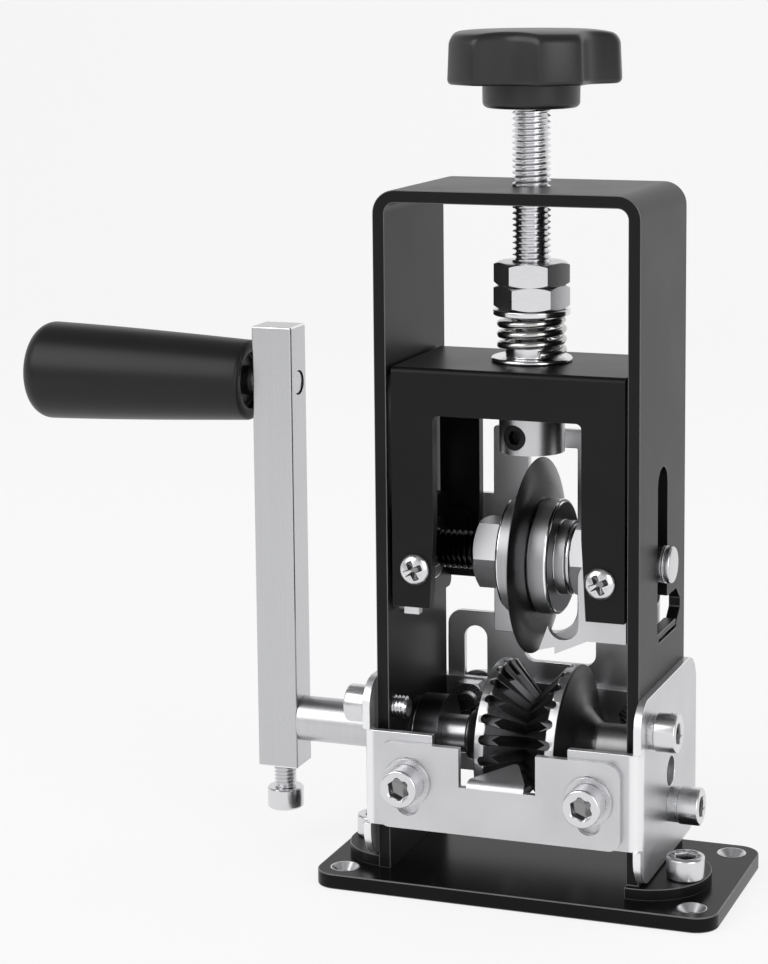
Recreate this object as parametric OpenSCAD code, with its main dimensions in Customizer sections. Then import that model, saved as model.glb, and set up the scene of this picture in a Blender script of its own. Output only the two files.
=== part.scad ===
// Hand crank wire stripper. A bent steel frame on a base plate carries a toothed feed roller,
// turned by a crank, and a round blade in a yoke that a star knob raises and lowers.
// Units are millimetres. X runs along the shafts, Y to the rear and Z up. The origin is on the
// underside of the base plate, halfway between the two walls and between their front and rear edges.

/* [Base] */
// Width of the base plate
base_w = 107; // [104:1:116]
// Depth of the base plate
base_d = 55; // [55:1:70]
// Thickness of the base plate
base_t = 4; // [3:0.5:4]

/* [Frame] */
// Outer width of the frame
frame_w = 70; // [70:0.5:71]
// Depth of the frame, front to rear
frame_d = 44; // [44:0.5:45]
// Height of the frame's top face
frame_top = 181; // [179:1:190]
// Thickness of the frame's steel
sheet = 3.2; // [3:0.1:3.2]

/* [Feed] */
// Height of the drive shaft's axis
shaft_z = 35; // [35:0.5:36]
// Outer radius of the feed roller
roller_r = 21; // [20:0.1:21]
// Teeth round each cone of the roller
tooth_count = 24; // [18:1:26]

/* [Blade] */
// Height of the blade's axis
blade_z = 85; // [84:0.5:86]
// Radius of the blade
blade_r = 25.5; // [24:0.5:25.5]
// Thickness of the blade
blade_t = 3; // [2:0.5:3]

/* [Knob] */
// Radius of the star knob over its lobes
knob_r = 23; // [18:0.5:25]
// Lobes round the star knob
lobe_count = 5; // [4:1:9]

/* [Crank] */
// Height of the grip's axis
grip_z = 127; // [110:1:130]
// Length of the grip
grip_length = 64; // [55:1:80]

/* [Hidden] */
$fn = 64;

// Colours
black_steel = [0.09, 0.09, 0.1];
black_plastic = [0.07, 0.07, 0.075];
dark_steel = [0.25, 0.25, 0.26];
bare_steel = [0.72, 0.72, 0.74];
zinc = [0.78, 0.78, 0.8];

// Base plate and its holes
base_left = -50.5;
base_front = -31;
base_corner_r = 6;
hole_inset_x = 7;
hole_inset_y = 6.5;
base_hole_d = 3.6;
countersink_d = 7.2;
countersink_h = 1.8;

// Frame
wall_out = frame_w / 2;
wall_in = wall_out - sheet;
front_y = -frame_d / 2;
rear_y = frame_d / 2;
frame_corner_r = 6;
foot_t = 3;
foot_top = base_t + foot_t;
right_foot = [34, -8, 16];
left_foot = [-34, -8, 13.6];
right_foot_screw = [44.5, -11.5];
left_foot_screw = [-42.1, -6];

// Slots for the blade's axle
slot_w = 9.8;
slot_low = 69;
slot_high = 110.3;

// Side bracket, a sheet wrapped round the front of the frame
bracket_t = 2;
bracket_front = -27.5;
bracket_low = 17.6;
bracket_high = 42.6;
bracket_bend_r = 3;
wing_low = 7.5;
wing_high = 55.3;
wing_rear = 27.6;
bracket_notch_x = 18;
bracket_notch_low = 25;
side_upper = [-18, 46.4];
side_lower = [1.8, 21.2];
upper_spacer_t = 1.6;
lower_spacer_t = 2.6;
wing_hole_d = 7.8;
wing_hole_z = [30, 41.5];

// Metric fasteners
m6_r = 3;
m6_head_d = 9.8;
m6_head_h = 5.7;
m6_socket = 5;
m6_nut_af = 10;
m6_nut_h = 5;
m4_r = 2;
m4_head_d = 8;
m4_head_h = 2.6;
m10_r = 5;
m10_nut_af = 17;

// Guide plates, which slide on two screws each
guide_t = 1.9;
guide_x = 32.2;
guide_screw_x = 24.1;
guide_slot_w = 6.4;
front_guide_z = [18, 40.5];
front_guide_screw_z = 30.5;
front_guide_slot = [21.5, 36.9];
rear_guide_z = [26, 62];
rear_guide_screw_z = 38.6;
rear_guide_slot = [35.3, 57.9];
washer_t = 1.15;
guide_washer_r = 6.3;

// Drive shaft and crank
shaft_r = 5;
run_gap = 0.05;
arm_w = 11.4;
arm_d = 10;
arm_x = -76.5;
arm_low = 22;
arm_high = 142.3;
shaft_end_r = 4;
stub_r = 6;
grip_right = -78.5;
spindle_r = 4;
spindle_end_r = 3.1;

// Roller, whose groove is centred under the blade
blade_x = 1.5;
groove_r = 12;
groove_half = 8;
rim_w = 3;
hub_r = 6.5;
left_hub_end = 18.5;
right_hub_end = 27.6;
tooth_w = 2.8;
tooth_depth = 1.7;
notch_w = 2.5;
notch_run = 1.6;
notch_floor = 17.2;

// Pressure screw and what it carries
screw_low = 112.3;
screw_high = 213;
knob_low = 207;
knob_hub_low = 200.8;
knob_hub_r = 12.4;
hollow_depth = 4;
knob_turn = 55;
knob_crown = 1.8;
nut_h = 6;
lower_nut_z = 149.6;
collar_r = 8.5;
collar_low = 112.5;
collar_high = 132.9;
spring_low = 137.3;
spring_high = 148;
spring_wire_r = 1.08;
spring_mean_r = 8;
spring_turns = 2.7;
spring_start = -57;

// Yoke
yoke_x = 30.8;
yoke_t = 3;
yoke_front = -21;
yoke_rear = 18;
yoke_low = 74;
yoke_high = 136;
window_x = 19.6;
window_high = 124;
plate_x = 27.8;
plate_t = 2.5;
yoke_screw_x = 24.6;
yoke_screw_z = 84;
hold_down_t = 2;
guard_t = 2;

// Blade rotor
journal_r = 4.75;
journal_x = 26;
axle_end = 38;
flange_r = 15;
flange_t = 5.5;
blade_left = blade_x - blade_t / 2;
blade_right = blade_x + blade_t / 2;

// Shapes used by several sub-parts

module x_rod(x0, x1, r) {
    translate([x0, 0, 0]) rotate([0, 90, 0]) cylinder(h = x1 - x0, r = r);
}

module y_rod(y0, y1, r) {
    translate([0, y0, 0]) rotate([-90, 0, 0]) cylinder(h = y1 - y0, r = r);
}

// A flat plate across the object, drawn in X and Z
module xz_plate(y0, t) {
    translate([0, y0 + t, 0]) rotate([90, 0, 0]) linear_extrude(t) children();
}

// A flat plate along the object, drawn in Y and Z
module yz_plate(x0, t) {
    translate([x0, 0, 0]) rotate([90, 0, 90]) linear_extrude(t) children();
}

// A turned piece on an axis along X, drawn as radius and distance from x0
module x_turned(x0, z0) {
    translate([x0, 0, z0]) rotate([0, 90, 0]) rotate_extrude($fn = 96) children();
}

// A rectangle whose corner radii run from the lower left, counterclockwise
module corner_rect(x0, y0, x1, y1, radii) {
    places = [[x0, y0, 1, 1], [x1, y0, -1, 1], [x1, y1, -1, -1], [x0, y1, 1, -1]];
    difference() {
        translate([x0, y0]) square([x1 - x0, y1 - y0]);
        for (i = [0:3]) {
            r = radii[i];
            p = places[i];
            if (r > 0) corner_waste(p, r);
        }
    }
}

module corner_waste(p, r) {
    spill = 0.5;
    difference() {
        translate([p[0], p[1]]) scale_square(p, r, spill);
        translate([p[0] + p[2] * r, p[1] + p[3] * r]) circle(r = r);
    }
}

module scale_square(p, r, spill) {
    x = p[2] > 0 ? -spill : -r;
    y = p[3] > 0 ? -spill : -r;
    translate([x, y]) square([r + spill, r + spill]);
}

module round_rect(x0, y0, x1, y1, r) {
    corner_rect(x0, y0, x1, y1, [r, r, r, r]);
}

// A hexagon bar with its ends chamfered, as on a nut
module hex_body(across_flats, h) {
    corner_r = across_flats / 2 / cos(30);
    edge = corner_r - across_flats / 2;
    rim = edge * 0.55;
    intersection() {
        cylinder(h = h, r = corner_r, $fn = 6);
        rotate_extrude() polygon([
            [0, 0], [corner_r - edge, 0], [corner_r, rim], [corner_r, h - rim], [corner_r - edge, h], [0, h]
        ]);
    }
}

// A socket cap screw that points down, with the underside of its head at zero
module cap_screw(r, length, head_d, head_h, socket) {
    chamfer = 0.5;
    head_r = head_d / 2;
    difference() {
        union() {
            translate([0, 0, -length]) cylinder(h = length, r = r);
            rotate_extrude() polygon([
                [0, 0], [head_r, 0], [head_r, head_h - chamfer], [head_r - chamfer, head_h], [0, head_h]
            ]);
        }
        translate([0, 0, head_h - 3]) cylinder(h = 4, r = socket / 2 / cos(30), $fn = 6);
    }
}

module m6_screw(length) {
    cap_screw(m6_r, length, m6_head_d, m6_head_h, m6_socket);
}

// A cross recess pan screw that points down, with the underside of its head at zero
module pan_screw(length) {
    head_r = m4_head_d / 2;
    dome_r = 6.2;
    dome_z = m4_head_h - dome_r;
    difference() {
        union() {
            translate([0, 0, -length]) cylinder(h = length, r = m4_r);
            intersection() {
                cylinder(h = m4_head_h, r = head_r);
                translate([0, 0, dome_z]) sphere(r = dome_r);
            }
        }
        for (a = [20, 110]) rotate([0, 0, a]) {
            translate([-2.3, -0.45, m4_head_h - 1.5]) cube([4.6, 0.9, 2]);
        }
    }
}

module ring(h, outer_r, inner_r) {
    difference() {
        cylinder(h = h, r = outer_r);
        translate([0, 0, -1]) cylinder(h = h + 2, r = inner_r);
    }
}

module x_ring(x0, x1, outer_r, inner_r) {
    translate([x0, 0, 0]) rotate([0, 90, 0]) ring(x1 - x0, outer_r, inner_r);
}

// Base and frame

function base_hole_xs() = [base_left + hole_inset_x, base_left + base_w - hole_inset_x];
function base_hole_ys() = [base_front + hole_inset_y, base_front + base_d - hole_inset_y];

module base_plate() {
    color(black_steel) difference() {
        linear_extrude(base_t) round_rect(
            base_left, base_front, base_left + base_w, base_front + base_d, base_corner_r
        );
        for (x = base_hole_xs(), y = base_hole_ys()) translate([x, y, 0]) {
            translate([0, 0, -1]) cylinder(h = base_t + 2, d = base_hole_d);
            translate([0, 0, base_t - countersink_h])
                cylinder(h = countersink_h, d1 = base_hole_d, d2 = countersink_d);
        }
        for (p = [left_foot_screw, right_foot_screw])
            translate([p[0], p[1], -1]) cylinder(h = base_t + 2, r = m6_r);
    }
}

// The frame's section across its front, an upside-down U
module frame_section() {
    inner_r = frame_corner_r - sheet;
    top_in = frame_top - sheet;
    difference() {
        corner_rect(-wall_out, base_t, wall_out, frame_top, [0, 0, frame_corner_r, frame_corner_r]);
        corner_rect(-wall_in, base_t - 1, wall_in, top_in, [0, 0, inner_r, inner_r]);
    }
}

// One foot, seen from above: a round tongue on the outer side of a wall
module foot_tongue(foot, side) {
    difference() {
        translate([foot[0], foot[1]]) circle(r = foot[2]);
        translate([side > 0 ? -50 : -wall_in, -60]) square([50 + wall_in, 120]);
    }
}

module axle_slot() {
    slot_r = slot_w / 2;
    translate([-slot_r, slot_low]) square([slot_w, slot_high - slot_r - slot_low]);
    translate([0, slot_high - slot_r]) circle(r = slot_r);
}

// The pocket behind the lower end of the right slot, and the relief cut that leads from it
module slot_pocket() {
    polygon([[4, 75.5], [14, 75.5], [18, 72], [18, 69.5], [14.5, 66.5], [13.2, 66.5], [13.2, 67.5], [4, 67.5]]);
    translate([-3.5, 65]) square([18, 1]);
    translate([13.2, 65]) square([1.3, 2]);
    translate([-slot_w / 2, 67.5]) square([slot_w, 3]);
}

module outer_frame() {
    color(black_steel) difference() {
        union() {
            xz_plate(front_y, frame_d) frame_section();
            translate([0, 0, base_t]) linear_extrude(foot_t) foot_tongue(right_foot, 1);
            translate([0, 0, base_t]) linear_extrude(foot_t) foot_tongue(left_foot, -1);
        }
        translate([0, 0, frame_top - sheet - 1]) cylinder(h = sheet + 2, r = m10_r + run_gap);
        yz_plate(-wall_out - 1, sheet + 2) axle_slot();
        yz_plate(wall_in - 1, sheet + 2) union() {
            axle_slot();
            slot_pocket();
        }
        translate([-wall_out - 1, 0, shaft_z]) x_rod(0, sheet + 2, 7);
        translate([wall_in - 1, 0, shaft_z]) x_rod(0, sheet + 2, 7);
        for (x = [-wall_out - 1, wall_in - 1], p = [side_upper, side_lower])
            translate([x, p[0], p[1]]) x_rod(0, sheet + 2, m6_r);
        for (p = [left_foot_screw, right_foot_screw])
            translate([p[0], p[1], base_t - 1]) cylinder(h = foot_t + 2, r = m6_r);
    }
}

module foot_screws() {
    color(bare_steel) for (p = [left_foot_screw, right_foot_screw])
        translate([p[0], p[1], foot_top]) m6_screw(foot_top - 0.5);
}

// Bracket round the frame

// A wing from the side. Between the strip's edges it starts behind the bend.
module wing_outline() {
    difference() {
        corner_rect(bracket_front, wing_low, wing_rear, wing_high, [8, 7, 8, 7]);
        translate([bracket_front - 1, bracket_low])
            square([bracket_bend_r + 1, bracket_high - bracket_low]);
    }
}

// The bracket's front strip from above, bent back at both ends into the wings
module strip_outline() {
    out = wall_out + bracket_t;
    inner_r = bracket_bend_r - bracket_t;
    difference() {
        corner_rect(-out, bracket_front, out, front_y, [bracket_bend_r, bracket_bend_r, 0, 0]);
        corner_rect(-wall_out, bracket_front + bracket_t, wall_out, front_y + 1, [inner_r, inner_r, 0, 0]);
    }
}

module side_bracket() {
    color(zinc) difference() {
        union() {
            translate([0, 0, bracket_low]) linear_extrude(bracket_high - bracket_low) strip_outline();
            yz_plate(wall_out, bracket_t) wing_outline();
            yz_plate(-wall_out - bracket_t, bracket_t) wing_outline();
        }
        xz_plate(bracket_front - 1, bracket_t + 2)
            corner_rect(-bracket_notch_x, bracket_notch_low, bracket_notch_x, 60, [2, 2, 0, 0]);
        for (x = [-wall_out - bracket_t - 1, wall_out - 1]) {
            for (p = [side_upper, side_lower]) translate([x, p[0], p[1]]) x_rod(0, bracket_t + 2, m6_r);
        }
        for (z = wing_hole_z)
            translate([wall_out - 1, side_lower[0], z]) x_rod(0, bracket_t + 2, wing_hole_d / 2);
        translate([-wall_out - bracket_t - 1, 0, shaft_z]) x_rod(0, bracket_t + 2, 7);
        for (x = [-guide_screw_x, guide_screw_x])
            translate([x, 0, front_guide_screw_z]) y_rod(bracket_front - 1, bracket_front + bracket_t + 1, m6_r);
    }
}

// The place of each side screw and the thickness of the spacer under its head
function side_places() = [[side_upper, upper_spacer_t], [side_lower, lower_spacer_t]];
wing_face = wall_out + bracket_t;

// The left screws end inside the wall, and the right ones within its thickness
module side_screws() {
    through = wing_face - wall_in;
    color(bare_steel) for (side = [-1, 1], s = side_places())
        translate([side * (wing_face + s[1]), s[0][0], s[0][1]]) rotate([0, 90 * side, 0])
            m6_screw(through + s[1] + (side < 0 ? 4 : -0.4));
}

module side_washers() {
    color(bare_steel) for (side = [-1, 1], s = side_places())
        translate([side * wing_face, s[0][0], s[0][1]]) rotate([0, 90 * side, 0]) ring(s[1], 4.6, m6_r);
}

// A strip across the rear, with its ends turned back along the wings
module rear_crossbar() {
    top = 44;
    end_x = wall_out;
    color(zinc) difference() {
        translate([0, 0, bracket_low]) linear_extrude(top - bracket_low) difference() {
            corner_rect(-end_x, rear_y, end_x, wing_rear - 1, [2.5, 2.5, 0, 0]);
            corner_rect(-end_x + bracket_t, rear_y + bracket_t, end_x - bracket_t, wing_rear, [0.6, 0.6, 0, 0]);
        }
        for (x = [-guide_screw_x, guide_screw_x])
            translate([x, 0, rear_guide_screw_z]) y_rod(rear_y - 1, rear_y + bracket_t + 1, m6_r);
    }
}

// Bushes that carry the drive shaft
flange_bush_t = 1.5;

module left_bush() {
    color(dark_steel) translate([0, 0, shaft_z]) difference() {
        union() {
            x_rod(-wall_out - bracket_t, -wall_in, 7);
            x_rod(-wall_in, -wall_in + flange_bush_t, 9);
        }
        x_rod(-50, 0, shaft_r + run_gap);
    }
}

module right_bush() {
    color(dark_steel) translate([0, 0, shaft_z]) difference() {
        union() {
            x_rod(wall_in, wall_out, 7);
            x_rod(wall_in - flange_bush_t, wall_in, 9);
        }
        x_rod(0, 50, shaft_r + run_gap);
    }
}

// Guide plates with their screws, washers and nuts
slide_gap = 0.1;
rear_seat = -rear_y - bracket_t;

// Faces of a guide plate, its washer and its screw's head, for a plate that lies in front of the
// sheet face at seat. The rear ones are mirrored.
function guide_back(seat) = seat - slide_gap;
function guide_face(seat) = guide_back(seat) - guide_t;
function guide_washer_y(seat) = guide_face(seat) - run_gap;
function guide_head_y(seat) = guide_washer_y(seat) - washer_t;

module guide_slots(slot) {
    slot_r = guide_slot_w / 2;
    for (x = [-guide_screw_x, guide_screw_x])
        round_rect(x - slot_r, slot[0], x + slot_r, slot[1], slot_r);
}

// The tongue of the front plate from the side: it bends back from the notch's lower edge and rises
// into the roller's groove
module tongue_section() {
    y0 = guide_face(bracket_front);
    bend_r = 2.6;
    tongue_t = 1.5;
    bend_top = 32.3;
    tip_y = -16.5;
    tip_top = 33.9;
    difference() {
        union() {
            translate([y0 + bend_r, bend_top - bend_r]) circle(r = bend_r);
            polygon([
                [y0 + bend_r, bend_top], [tip_y, tip_top], [tip_y, tip_top - tongue_t],
                [y0 + bend_r, bend_top - tongue_t - 0.6]
            ]);
        }
        translate([y0 - 1, bend_top - 8]) square([20, 8 - bend_r]);
        translate([y0 + guide_t, bend_top - bend_r - 1]) square([20, bend_r + 1 - tongue_t - 0.6]);
    }
}

// The tongue from above, a triangle with a round tip
module tongue_outline() {
    y0 = guide_face(bracket_front);
    tip = [1, -18];
    tip_r = 1.1;
    hull() {
        translate(tip) circle(r = tip_r, $fn = 32);
        polygon([[-8.3, y0], [7, y0], [6.6, y0 + 2.4], [-7.9, y0 + 2.4]]);
    }
}

module front_guide_plate() {
    notch_x = 10.2;
    notch_low = 30.4;
    color(zinc) union() {
        xz_plate(guide_face(bracket_front), guide_t) difference() {
            corner_rect(-guide_x, front_guide_z[0], guide_x, front_guide_z[1], [3, 3, 4, 4]);
            corner_rect(-notch_x, notch_low, notch_x, 60, [0, 0, 0, 0]);
            guide_slots(front_guide_slot);
        }
        intersection() {
            yz_plate(-guide_x, 2 * guide_x) tongue_section();
            linear_extrude(60) tongue_outline();
        }
    }
}

module rear_guide_plate() {
    notch_x = 10;
    notch_low = 49.5;
    color(zinc) mirror([0, 1, 0]) xz_plate(guide_face(rear_seat), guide_t) difference() {
        corner_rect(-guide_x, rear_guide_z[0], guide_x, rear_guide_z[1], [3, 3, 4, 4]);
        corner_rect(-notch_x, notch_low, notch_x, 80, [3, 3, 0, 0]);
        guide_slots(rear_guide_slot);
    }
}

module guide_screw_pair(z, seat) {
    head_y = guide_head_y(seat);
    length = seat + bracket_t + m6_nut_h + 1 - head_y;
    for (x = [-guide_screw_x, guide_screw_x])
        translate([x, head_y, z]) rotate([90, 0, 0]) m6_screw(length);
}

module guide_washer_pair(z, seat) {
    for (x = [-guide_screw_x, guide_screw_x])
        translate([x, guide_washer_y(seat), z]) rotate([90, 0, 0]) ring(washer_t, guide_washer_r, m6_r);
}

module guide_nut_pair(z, seat) {
    for (x = [-guide_screw_x, guide_screw_x])
        translate([x, seat + bracket_t + m6_nut_h, z]) rotate([90, 0, 0]) difference() {
            hex_body(m6_nut_af, m6_nut_h);
            translate([0, 0, -1]) cylinder(h = m6_nut_h + 2, r = m6_r);
        }
}

module front_guide_screws() {
    color(bare_steel) guide_screw_pair(front_guide_screw_z, bracket_front);
}

module front_guide_washers() {
    color(bare_steel) guide_washer_pair(front_guide_screw_z, bracket_front);
}

module front_guide_nuts() {
    color(bare_steel) guide_nut_pair(front_guide_screw_z, bracket_front);
}

module rear_guide_screws() {
    color(bare_steel) mirror([0, 1, 0]) guide_screw_pair(rear_guide_screw_z, rear_seat);
}

module rear_guide_washers() {
    color(bare_steel) mirror([0, 1, 0]) guide_washer_pair(rear_guide_screw_z, rear_seat);
}

module rear_guide_nuts() {
    color(bare_steel) mirror([0, 1, 0]) guide_nut_pair(rear_guide_screw_z, rear_seat);
}

// Crank and drive shaft
arm_right = arm_x + arm_w;
arm_mid = arm_x + arm_w / 2;

module crank_arm() {
    color(zinc) difference() {
        translate([0, 0, arm_low]) linear_extrude(arm_high - arm_low)
            round_rect(arm_x, -arm_d / 2, arm_right, arm_d / 2, 0.6);
        translate([0, 0, shaft_z]) x_rod(arm_x - 1, arm_right + 1, shaft_end_r);
        translate([0, 0, grip_z]) x_rod(arm_x - 1, arm_right + 1, spindle_end_r);
        translate([arm_mid, 0, arm_low - 1]) cylinder(h = shaft_z - arm_low, r = m6_r);
    }
}

module crank_clamp_screw() {
    head_top = 15.4;
    color(bare_steel) translate([arm_mid, 0, head_top]) rotate([180, 0, 0])
        m6_screw(shaft_z - shaft_end_r - head_top);
}

module drive_shaft() {
    stub_end = -wall_out - bracket_t - 0.6;
    color(bare_steel) translate([0, 0, shaft_z]) union() {
        x_rod(arm_x, arm_right, shaft_end_r);
        x_rod(arm_right, stub_end, stub_r);
        x_rod(stub_end, wall_out - 0.5, shaft_r);
    }
}

module handle_spindle() {
    color(bare_steel) translate([0, 0, grip_z]) union() {
        x_rod(grip_right - grip_length + 6, arm_x, spindle_r);
        x_rod(arm_x, arm_right - 0.4, spindle_end_r);
    }
}

// Radius of the grip at a distance from its right end
function grip_radius(s) = 10.7 + 2.7 * (s / grip_length + sin(90 * s / grip_length)) / 2;

grip_end_r = 5;

function grip_side() = [for (i = [0:9]) let(s = 1 + (grip_length - grip_end_r - 1) * i / 9) [grip_radius(s), -s]];

function grip_end() = let(r = grip_radius(grip_length - grip_end_r)) [
    for (a = [15:15:90]) [r - grip_end_r * (1 - cos(a)), -(grip_length - grip_end_r) - grip_end_r * sin(a)]
];

module handle_grip() {
    recess_r = 7.5;
    recess_d = 2.6;
    bore = grip_length - 4.5;
    color(black_plastic) x_turned(grip_right, grip_z) polygon(concat(
        [[spindle_r + run_gap, -recess_d], [recess_r, -recess_d], [recess_r, -0.6], [recess_r + 0.6, 0]],
        [[grip_radius(0) - 1, 0]],
        grip_side(),
        grip_end(),
        [[0, -grip_length], [0, -bore], [spindle_r + run_gap, -bore]]
    ));
}

// One half of the roller, as radius and distance from the middle of the groove
module roller_profile(hub_end) {
    rim = groove_half + rim_w;
    polygon([
        [shaft_r, 0], [groove_r, 0], [roller_r - 0.4, groove_half], [roller_r, groove_half + 0.4],
        [roller_r, rim - 0.4], [roller_r - 0.8, rim], [roller_r - 3, rim], [14, rim + 0.7], [10.5, rim + 2],
        [8.4, rim + 4], [hub_r + 0.5, rim + 5.6], [hub_r, rim + 6.6],
        [hub_r, hub_end - 0.6], [hub_r - 0.6, hub_end], [shaft_r, hub_end]
    ]);
}

// A half roller on the Z axis. V cuts along its cone leave the teeth, and each cut ends in a round
// notch in the rim.
module roller_half_body(hub_end) {
    rise = roller_r - 0.4 - groove_r;
    slope = atan2(rise, groove_half);
    over = 0.5;
    half_w = tooth_w / 2 * (1 + over / tooth_depth);
    notch_end = groove_half + notch_run - notch_w / 2;
    difference() {
        rotate_extrude($fn = 96) roller_profile(hub_end);
        for (i = [0:tooth_count - 1]) rotate([0, 0, 360 * i / tooth_count]) {
            translate([groove_r, 0, 0]) rotate([0, slope, 0]) translate([0, 0, -4])
                linear_extrude(15) polygon([[over, -half_w], [over, half_w], [-tooth_depth, 0]]);
            translate([notch_floor, 0, 0]) rotate([0, 90, 0]) linear_extrude(6) union() {
                translate([-notch_end, -notch_w / 2]) square([notch_end - 3, notch_w]);
                translate([-notch_end, 0]) circle(d = notch_w);
            }
        }
    }
}

module roller_right() {
    color(dark_steel) translate([blade_x, 0, shaft_z]) rotate([0, 90, 0]) roller_half_body(right_hub_end);
}

module roller_left() {
    color(dark_steel) translate([blade_x, 0, shaft_z]) mirror([1, 0, 0]) rotate([0, 90, 0])
        roller_half_body(left_hub_end);
}

collar_x0 = -wall_in + flange_bush_t + 0.3;
collar_x1 = -23.4;

module shaft_collar() {
    mid = (collar_x0 + collar_x1) / 2;
    color(dark_steel) translate([0, 0, shaft_z]) difference() {
        x_ring(collar_x0, collar_x1, 10, shaft_r);
        translate([mid, 0, 0]) y_rod(-12, 0, m4_r);
    }
}

module shaft_collar_screw() {
    mid = (collar_x0 + collar_x1) / 2;
    color(dark_steel) translate([mid, 0, shaft_z]) difference() {
        y_rod(-9.6, -shaft_r, m4_r);
        translate([0, -10, 0]) rotate([-90, 0, 0]) cylinder(h = 2.2, r = 1.15, $fn = 6);
    }
}

// Pressure screw and knob

// Radius of the knob's outline at an angle. A round hollow lies between each two lobes, and its
// shoulders are softened.
function lobe_radius(a) = let(
        step = 360 / lobe_count,
        turn = a - knob_turn,
        off = turn - step * round(turn / step),
        rise = 1 - pow(off / (0.3 * step), 2),
        soft = 0.12
    )
    knob_r - hollow_depth * (rise + sqrt(rise * rise + soft * soft)) / 2;

// One ring of points round the knob. The crown lowers its outer parts by up to drop.
function knob_ring(z, inset, drop, steps) = [
    for (i = [0:steps - 1]) let(a = 360 * i / steps, r = lobe_radius(a) - inset)
        [r * cos(a), r * sin(a), z - drop * pow(r / knob_r, 6)]
];

// Side faces of a stack of rings, two triangles for each step
function skin(rings, steps) = [
    for (k = [0:rings - 2], i = [0:steps - 1], half = [0, 1])
        let(j = (i + 1) % steps, a = k * steps + i, b = k * steps + j, c = a + steps, d = b + steps)
            half == 0 ? [a, c, d] : [a, d, b]
];

module knob_body() {
    steps = 16 * lobe_count;
    high = 13.6;
    layers = [
        [0, 1.3, 0], [0.4, 0.5, 0], [1.2, 0, 0], [high - 2, 0.4, 1], [high - 0.8, 0.9, 1], [high - 0.15, 2, 1],
        [high, 4.5, 1]
    ];
    n = len(layers);
    points = concat(
        [for (l = layers) each knob_ring(knob_low + l[0], l[1], l[2] * knob_crown, steps)],
        [[0, 0, knob_low], [0, 0, knob_low + high]]
    );
    low = n * steps;
    bottom = [for (i = [0:steps - 1]) [low, i, (i + 1) % steps]];
    top = [for (i = [0:steps - 1]) [low + 1, (n - 1) * steps + (i + 1) % steps, (n - 1) * steps + i]];
    polyhedron(points = points, faces = concat(skin(n, steps), bottom, top));
}

module star_knob() {
    color(black_plastic) difference() {
        union() {
            knob_body();
            translate([0, 0, knob_hub_low]) rotate_extrude() polygon([
                [0, 0], [knob_hub_r - 1.5, 0], [knob_hub_r - 0.5, 0.4], [knob_hub_r, 1.4],
                [knob_hub_r + 0.1, 8], [0, 8]
            ]);
        }
        translate([0, 0, knob_hub_low - 1]) cylinder(h = screw_high - knob_hub_low + 1, r = m10_r);
    }
}

module pressure_screw() {
    color(bare_steel) translate([0, 0, screw_low]) cylinder(h = screw_high - screw_low, r = m10_r);
}

module jam_nut(z, turn) {
    translate([0, 0, z]) rotate([0, 0, turn]) difference() {
        hex_body(m10_nut_af, nut_h);
        translate([0, 0, -1]) cylinder(h = nut_h + 2, r = m10_r);
    }
}

module lower_jam_nut() {
    color(bare_steel) jam_nut(lower_nut_z, 17);
}

module upper_jam_nut() {
    color(bare_steel) jam_nut(lower_nut_z + nut_h, 12);
}

set_screw_z = 117;
set_screw_turn = 74;
set_screw_r = 3.3;

module screw_collar() {
    color(zinc) difference() {
        translate([0, 0, collar_low]) ring(collar_high - collar_low, collar_r, m10_r);
        translate([0, 0, set_screw_z]) rotate([0, 0, set_screw_turn - 90]) mirror([0, 1, 0])
            y_rod(0, 12, set_screw_r);
    }
}

module screw_collar_screw() {
    color(dark_steel) translate([0, 0, set_screw_z]) rotate([0, 0, set_screw_turn - 90]) mirror([0, 1, 0])
        difference() {
            y_rod(m10_r + 0.02, collar_r - 0.2, set_screw_r);
            translate([0, collar_r - 2.4, 0]) rotate([-90, 0, 0]) cylinder(h = 3, r = 1.9, $fn = 6);
        }
}

// Spring and its seats

module upper_washer() {
    color(bare_steel) translate([0, 0, spring_high]) ring(1.5, 10, m10_r + 0.2);
}

module lower_washer() {
    color(bare_steel) translate([0, 0, yoke_high]) difference() {
        rotate_extrude() polygon([
            [0, 0], [10.4, 0], [10.6, 0.6], [10.2, 1.2], [6.8, 1.2], [6.8, 4.6], [6.4, 5], [0, 5]
        ]);
        translate([0, 0, -1]) cylinder(h = 8, r = m10_r + 0.3);
    }
}

spring_steps = 24;
spring_rings = floor(spring_turns * spring_steps);
spring_pitch = (spring_high - spring_low - 2 * spring_wire_r - 0.1) / spring_turns;

function spring_point(i) = let(a = spring_start + 360 * i / spring_steps)
    [
        spring_mean_r * cos(a),
        spring_mean_r * sin(a),
        spring_low + spring_wire_r + 0.05 + spring_pitch * i / spring_steps
    ];

function spring_ring(i, sides) = let(
        a = spring_start + 360 * i / spring_steps,
        run = 2 * PI * spring_mean_r,
        n = norm([run, spring_pitch]),
        out = [cos(a), sin(a), 0],
        up = [sin(a) * spring_pitch / n, -cos(a) * spring_pitch / n, run / n]
    )
    [for (k = [0:sides - 1]) let(b = 360 * k / sides)
        spring_point(i) + spring_wire_r * (cos(b) * out + sin(b) * up)];

// Least distance between the surfaces of two turns, measured on points of the wire's centre line
spring_gap = min([
    for (i = [0:spring_rings], j = [i + 12:1:spring_rings]) norm(spring_point(i) - spring_point(j))
]) - 2 * spring_wire_r;
echo(spring_least_gap_mm = spring_gap);

module pressure_spring() {
    sides = 8;
    n = spring_rings + 1;
    points = [for (i = [0:spring_rings]) each spring_ring(i, sides)];
    first = [for (k = [1:sides - 2]) [0, k, k + 1]];
    last = [for (k = [1:sides - 2]) [(n - 1) * sides, (n - 1) * sides + k + 1, (n - 1) * sides + k]];
    color(bare_steel) polyhedron(points = points, faces = concat(skin(n, sides), first, last));
}

// Yoke

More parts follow.
